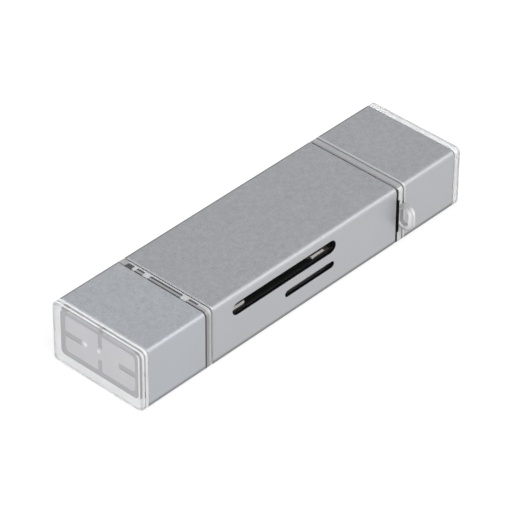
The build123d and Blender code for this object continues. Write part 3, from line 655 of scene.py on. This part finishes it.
def dress():
    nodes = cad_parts
    near_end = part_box("cap_c_sleeve")[0].x
    far_start, far_end = [corner.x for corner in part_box("cap_a_sleeve")]
    # The body's end face takes a darker copy of the cut metal: painted shade in the seam
    body_cuts = [(BODY_LOW.x - SKIN, BODY_LOW.x + END_FACE, tone(CUT_METAL, BODY_END_TONE), END_GLOSS)]
    near_cuts = [(near_end - SKIN, near_end + CUT_BAND, CUT_METAL, CUT_GLOSS)]
    # Far cap: painted shade beside its cut end, bright cut metal at the end, and a painted highlight by its
    # joint end
    far_cuts = [
        (far_end - CUT_SHADE[0], far_end - CUT_SHADE[1], tone(ALUMINIUM, CUT_SHADE_TONE), SHADE_GLOSS),
        (far_end - CUT_SHADE[1], far_end + SKIN, CUT_METAL, CUT_GLOSS),
        (far_start + JOINT_EDGE[0], far_start + JOINT_EDGE[1], tone(ALUMINIUM, JOINT_HIGHLIGHT_TONE), SHADE_GLOSS),
    ]
    black = moulded_plastic("black_plastic", BLACK_PLASTIC, BLACK_GLOSS)
    insulator = moulded_plastic("socket_insulator", INSULATOR, INSULATOR_GLOSS)
    tin = plated_metal("tinned_steel", TIN, TIN_GLOSS, TIN_LINES)
    nickel = plated_metal("nickel_plate", NICKEL, NICKEL_GLOSS, NICKEL_LINES)
    gold = plated_metal("gold_plate", GOLD, GOLD_GLOSS, GOLD_LINES)
    board = moulded_plastic("solder_mask", SOLDER_MASK, MASK_GLOSS)
    epoxy = moulded_plastic("chip_epoxy", EPOXY, EPOXY_GLOSS)
    ceramic = moulded_plastic("capacitor_ceramic", CERAMIC, CERAMIC_GLOSS)
    resistor = moulded_plastic("resistor_face", RESISTOR_FACE, RESISTOR_GLOSS)
    finishes = {
        "body_sleeve": blasted_aluminium("body_sleeve", ALUMINIUM, BODY_SIDE_SHADING, body_cuts),
        "cap_a_sleeve": blasted_aluminium("cap_a_sleeve", ALUMINIUM, FAR_CAP_SIDE_SHADING, far_cuts),
        # The near cap takes the lighter aluminium as painted light, and a darker slot side as painted shade
        "cap_c_sleeve": blasted_aluminium("cap_c_sleeve", NEAR_CAP_LIT_ALUMINIUM, NEAR_CAP_SIDE_SHADING, near_cuts),
        "cap_a_liner": cloudy_plastic("clear_far_liner", FAR_CLEARNESS, CLEAR, no_zones),
        "cap_c_liner": cloudy_plastic("clear_near_liner", NEAR_CLEARNESS, CLEAR, near_window_shade_zones),
        "cap_a_rim": cloudy_plastic("cloudy_far_rim", RIM_CLEARNESS, RIM_GREY, far_rim_zones),
        "cap_c_rim": cloudy_plastic("cloudy_near_rim", RIM_CLEARNESS, RIM_PALE, near_rim_zones),
        "frame_lower": black,
        "frame_upper": black,
        "main_board": board,
        "large_card_shell": lip_plate(),
        "small_card_shell": tin,
        "large_card_housing": insulator,
        "small_card_housing": insulator,
        "plug_a_tongue": insulator,
        "plug_c_insulator": insulator,
        "plug_a_shell": nickel,
        "plug_c_shell": nickel,
        "plug_c_latch": nickel,
        "crystal": nickel,
        "large_card_contacts": gold,
        "small_card_contacts": gold,
        "plug_a_contacts": gold,
        "plug_c_contacts": gold,
        "controller_chip": epoxy,
        "capacitors": ceramic,
        "resistors": resistor,
    }
    for name, material in finishes.items():
        slots = nodes[name].material_slots
        if not slots:
            nodes[name].data.materials.append(None)
            slots = nodes[name].material_slots
        for slot in slots:
            slot.link = "OBJECT"
            slot.material = material


def sort_by(parts, key):
    ranks = {part: rank for rank, part in enumerate(sorted(parts, key=key))}
    parts.sort(key=ranks.get)
    parts.index_update()


def sort_parts(shape):
    """Put corners, edges and faces in the same order each run: corners by place, the rest by their corners."""
    sort_by(shape.verts, lambda vert: [round(value / MERGE) for value in vert.co])
    for parts in (shape.edges, shape.faces):
        sort_by(parts, lambda part: sorted(vert.index for vert in part.verts))


def add_piece(name, shape, body, material):
    """Finished shape as a piece that rides on a body and belongs to the clear plastic."""
    sort_parts(shape)
    mesh = bpy.data.meshes.new(name)
    shape.to_mesh(mesh)
    shape.free()
    piece = bpy.data.objects.new(name, mesh)
    bpy.context.scene.collection.objects.link(piece)
    mesh.materials.append(material)
    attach(piece, body)


def add_sheet(shape, x, y_span, z_span):
    """Flat rectangle across the reader; returns its corners."""
    middle = Vector((x, sum(y_span) / 2, sum(z_span) / 2))
    size = Matrix.Diagonal((z_span[1] - z_span[0], y_span[1] - y_span[0], 1, 1))
    place = Matrix.Translation(middle) @ Matrix.Rotation(math.pi / 2, 4, "Y") @ size
    return bmesh.ops.create_grid(shape, x_segments=1, y_segments=1, size=0.5, matrix=place)["verts"]


def rounded_edge(shape, x, inset, radius, middle):
    """Edges of a rounded rectangle across the reader, drawn in from its outline."""
    half_y = HALF_WIDTH - inset
    half_z = HALF_HEIGHT - inset
    corners = add_sheet(shape, x, (-half_y, half_y), (middle - half_z, middle + half_z))
    arcs = bmesh.ops.bevel(
        shape, geom=corners, affect="VERTICES", offset=radius, segments=RING_STEPS, profile=0.5, material=-1
    )["verts"]
    sheet = dict.fromkeys(face for vert in arcs for face in vert.link_faces)
    bmesh.ops.delete(shape, geom=list(sheet), context="FACES_ONLY")
    return list(dict.fromkeys(edge for vert in arcs for edge in vert.link_edges))


def add_ring(shape, x, outer, inner):
    """Flat ring between two rounded outlines, each given as inset, corner radius and middle height."""
    edges = rounded_edge(shape, x, *outer) + rounded_edge(shape, x, *inner)
    bmesh.ops.bridge_loops(shape, edges=edges)


def add_spot(shape, x, y, z, radius):
    place = Matrix.Translation((x, y, z)) @ Matrix.Rotation(math.pi / 2, 4, "Y")
    bmesh.ops.create_circle(shape, cap_ends=True, segments=SPOT_SIDES, radius=radius, matrix=place)


def thicken(shape):
    bmesh.ops.recalc_face_normals(shape, faces=shape.faces)
    bmesh.ops.solidify(shape, geom=shape.faces[:], thickness=ETCH_SHEET)


def cap_lining(name, body, liner, window_face, material):
    """Etched skin on the inside of a clear cap, just under its surface."""
    shape = bmesh.new()
    shape.from_mesh(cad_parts[liner].data)
    bmesh.ops.remove_doubles(shape, verts=shape.verts, dist=MERGE)
    outside = []
    for face in shape.faces:
        middle = face.calc_center_median()
        wide = abs(middle.y) > HALF_WIDTH - CAVITY_INSET + SKIN
        high = abs(middle.z - MID_Z) > HALF_HEIGHT - CAVITY_INSET + SKIN
        at_end = abs(middle.x - window_face) < WINDOW_THICK / 2
        if wide or high or at_end:
            outside.append(face)
    bmesh.ops.delete(shape, geom=outside, context="FACES")
    shape.normal_update()
    for vert in shape.verts:
        vert.co -= vert.normal * SKIN
    bmesh.ops.solidify(shape, geom=shape.faces[:], thickness=ETCH_SHEET)
    add_piece(name, shape, body, material)


def window_flange(name, body, ring_x, spot_x, material):
    """Bright ring of painted light behind the window's clear border, with white spots at a rib's end and on
    the gate mark that are painted highlights.
    """
    middle = MID_Z + RECESS_LIFT
    shape = bmesh.new()
    add_ring(shape, ring_x, (FLANGE_OUTER, CORNER_R - FLANGE_OUTER, MID_Z), (CAVITY_INSET, CAVITY_R, middle))
    for y, z, radius in HIGHLIGHT_SPOTS:
        add_spot(shape, spot_x, y, middle + z, radius)
    thicken(shape)
    add_piece(name, shape, body, material)


def window_shoulders(name, body, sleeve_end, strips, material):
    """Painted highlights: bright strips over a window where it leaves the sleeve and down its sides, just
    under its surface.
    """
    shape = bmesh.new()
    for near, far in strips:
        edges = rounded_edge(shape, sleeve_end + near, SHOULDER_INSET, CORNER_R - SHOULDER_INSET, MID_Z)
        grown = bmesh.ops.extrude_edge_only(shape, edges=edges)["geom"]
        verts = [item for item in grown if isinstance(item, bmesh.types.BMVert)]
        bmesh.ops.translate(shape, verts=verts, vec=(far - near, 0, 0))
    foot = Vector((0, 0, BODY_LOW.z + CORNER_R))
    parts = shape.verts[:] + shape.edges[:] + shape.faces[:]
    bmesh.ops.bisect_plane(shape, geom=parts, plane_co=foot, plane_no=(0, 0, 1), clear_inner=True)
    thicken(shape)
    add_piece(name, shape, body, material)


def window_band(name, body, plug, rib_x, material):
    """Painted shade: grey band round the window's panel and the roots of the four ribs, where the clear
    plastic shows the dark inside.
    """
    plug_low, plug_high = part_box(plug)
    half = RIB_THICK / 2
    middle = MID_Z + RECESS_LIFT
    shape = bmesh.new()
    add_ring(shape, rib_x, (BAND_OUTER, CAVITY_R, MID_Z), (BAND_INNER, CAVITY_R, middle))
    for side in (-1, 1):
        rib_y = sorted((side * (plug_high.y + RIB_CLEAR), side * (HALF_WIDTH - BAND_INNER)))
        add_sheet(shape, rib_x, rib_y, (middle - half, middle + half))
        rib_z = ((plug_high.z - plug_low.z) / 2 + RIB_CLEAR, HALF_HEIGHT - BAND_INNER)
        add_sheet(shape, rib_x, (-half, half), sorted(middle + side * z for z in rib_z))
    thicken(shape)
    add_piece(name, shape, body, material)


def etch_caps():
    """Etched lining of both clear caps, with a bright flange ring and shoulder strips of painted light and a
    grey band of painted shade.
    """
    panel = etched_plastic("etched_panel", PANEL)
    flange = etched_plastic("painted_light_flange", FLANGE)
    band = etched_plastic("painted_shade_band", BAND)
    for cap, body, plug, side in (("near", "cap_c", "plug_c_shell", -1), ("far", "cap_a", "plug_a_shell", 1)):
        liner = body + "_liner"
        window_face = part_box(liner)[side > 0].x
        ring_x = window_face - side * (WINDOW_LENGTH - SKIN)
        rib_x = window_face - side * (WINDOW_THICK - RIB_LIFT)
        cap_lining(cap + "_cap_lining", body, liner, window_face, panel)
        window_flange(cap + "_window_flange", body, ring_x, rib_x, flange)
        window_band(cap + "_window_band", body, plug, rib_x, band)
    near_strips = [(-near, -far) for near, far in NEAR_SHOULDERS]
    window_shoulders("near_window_painted_highlights", "cap_c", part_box("cap_c_sleeve")[0].x, near_strips, flange)
    window_shoulders("far_window_painted_highlight", "cap_a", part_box("cap_a_sleeve")[1].x, [FAR_SHOULDER], flange)


def seen_mask(tree):
    """1 for rays that show the backdrop: straight, mirrored or through clear plastic."""
    path = tree.nodes.new("ShaderNodeLightPath")
    mirrored = maths(tree, "MAXIMUM", (path, "Is Camera Ray"), (path, "Is Glossy Ray"))
    return maths(tree, "MAXIMUM", (mirrored, 0), (path, "Is Transmission Ray"))


def make_floor():
    mesh = bpy.data.meshes.new("studio_floor")
    shape = bmesh.new()
    bmesh.ops.create_grid(shape, x_segments=1, y_segments=1, size=FLOOR_SIZE / 2)
    bmesh.ops.translate(shape, verts=shape.verts, vec=(0, 0, -FLOOR_DROP))
    shape.to_mesh(mesh)
    shape.free()
    floor = bpy.data.objects.new("studio_floor", mesh)
    bpy.context.scene.collection.objects.link(floor)
    material, tree, shader = new_material("studio_floor")
    shader.inputs["Base Color"].default_value = FLOOR_TONE
    shader.inputs["Roughness"].default_value = FLOOR_ROUGHNESS
    shader.inputs["Specular IOR Level"].default_value = 0.0
    shader.inputs["Emission Color"].default_value = (1, 1, 1, 1)
    lift = maths(tree, "MULTIPLY", (seen_mask(tree), 0), FLOOR_LIFT)
    wire(tree, lift, 0, shader, "Emission Strength")
    mesh.materials.append(material)


def make_world():
    world = bpy.data.worlds.new("studio")
    bpy.context.scene.world = world
    world.use_nodes = True
    tree = world.node_tree
    tree.nodes.clear()
    place = tree.nodes.new("ShaderNodeTexCoord")
    axes = tree.nodes.new("ShaderNodeSeparateXYZ")
    wire(tree, place, "Generated", axes, "Vector")
    rise = add_node(tree, "ShaderNodeMapRange", From_Min=WORLD_RISE[0], From_Max=WORLD_RISE[1])
    wire(tree, axes, "Z", rise, "Value")
    dome = shade(tree, rise, "Result", WORLD_LOW, WORLD_HIGH)
    path = tree.nodes.new("ShaderNodeLightPath")
    view = add_node(tree, "ShaderNodeMix", data_type="RGBA")
    wire(tree, path, "Is Camera Ray", view, "Factor")
    tree.links.new(dome.outputs["Result"], view.inputs["A"])
    view.inputs["B"].default_value = WORLD_LOW
    strength = vary(tree, seen_mask(tree), 0, WORLD_FILL, 1.0)
    background = tree.nodes.new("ShaderNodeBackground")
    tree.links.new(view.outputs["Result"], background.inputs["Color"])
    tree.links.new(strength.outputs["Result"], background.inputs["Strength"])
    end = tree.nodes.new("ShaderNodeOutputWorld")
    wire(tree, background, "Background", end, "Surface")


def add_lamp(name, direction, distance, size, power):
    """Square lamp that faces the reader from a direction."""
    lamp = bpy.data.lights.new(name, "AREA")
    lamp.size = size
    lamp.energy = power
    body = bpy.data.objects.new(name, lamp)
    bpy.context.scene.collection.objects.link(body)
    toward = Vector(direction).normalized()
    body.location = toward * distance
    body.rotation_euler = toward.to_track_quat("Z", "Y").to_euler()


def make_lamps():
    for lamp in LAMPS:
        add_lamp(*lamp)


def make_camera():
    azimuth = math.radians(CAMERA_AZIMUTH)
    elevation = math.radians(CAMERA_ELEVATION)
    level = math.cos(elevation)
    back = Vector((math.sin(azimuth) * level, -math.cos(azimuth) * level, math.sin(elevation)))
    right = Vector((math.cos(azimuth), math.sin(azimuth), 0))
    up = back.cross(right)
    roll = Matrix.Rotation(math.radians(CAMERA_ROLL), 3, back)
    right = roll @ right
    up = roll @ up
    data = bpy.data.cameras.new("camera")
    data.lens = CAMERA_LENS
    data.clip_start = CAMERA_NEAR
    camera = bpy.data.objects.new("camera", data)
    bpy.context.scene.collection.objects.link(camera)
    turn = Matrix((right, up, back)).transposed()
    place = Vector((CAMERA_AIM_X, 0, 0)) + right * CAMERA_RIGHT + up * CAMERA_UP + back * CAMERA_DISTANCE
    camera.matrix_world = Matrix.LocRotScale(place, turn.to_quaternion(), None)
    bpy.context.scene.camera = camera


dress()
etch_caps()
make_floor()
make_world()
make_lamps()
make_camera()
bpy.context.scene.view_settings.view_transform = "Standard"
